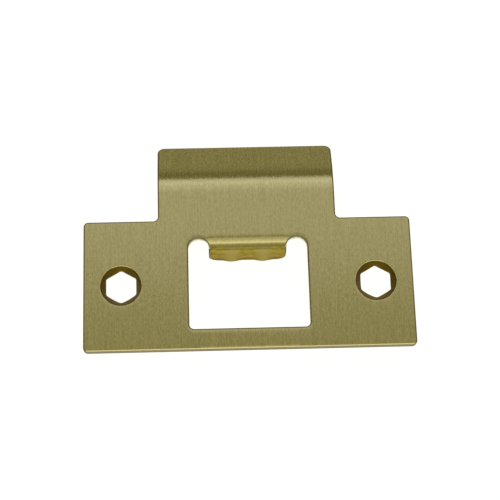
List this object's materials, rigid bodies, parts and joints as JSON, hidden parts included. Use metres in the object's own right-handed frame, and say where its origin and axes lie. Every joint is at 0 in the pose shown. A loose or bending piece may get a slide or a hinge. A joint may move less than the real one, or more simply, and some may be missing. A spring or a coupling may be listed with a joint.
{
  "type": "door strike plate",
  "caption": "T-shaped strike plate folded from satin brass sheet, with a curved lip, a latch opening, a fluted folded tab and countersunk screw holes.",
  "frame": {"origin": "midway between the screw holes, in the latch opening, on the plate's back face", "axes": "+X along the row of screw holes, +Y from the plate towards the curved lip, +Z out of the front face"},
  "size_m": [0.0698, 0.0469, 0.0071],
  "materials": {
    "satin_brass": "satin, brushed across the plate"
  },
  "bodies": {
    "root": {"strike_plate": "satin_brass"}
  },
  "joints": []
}
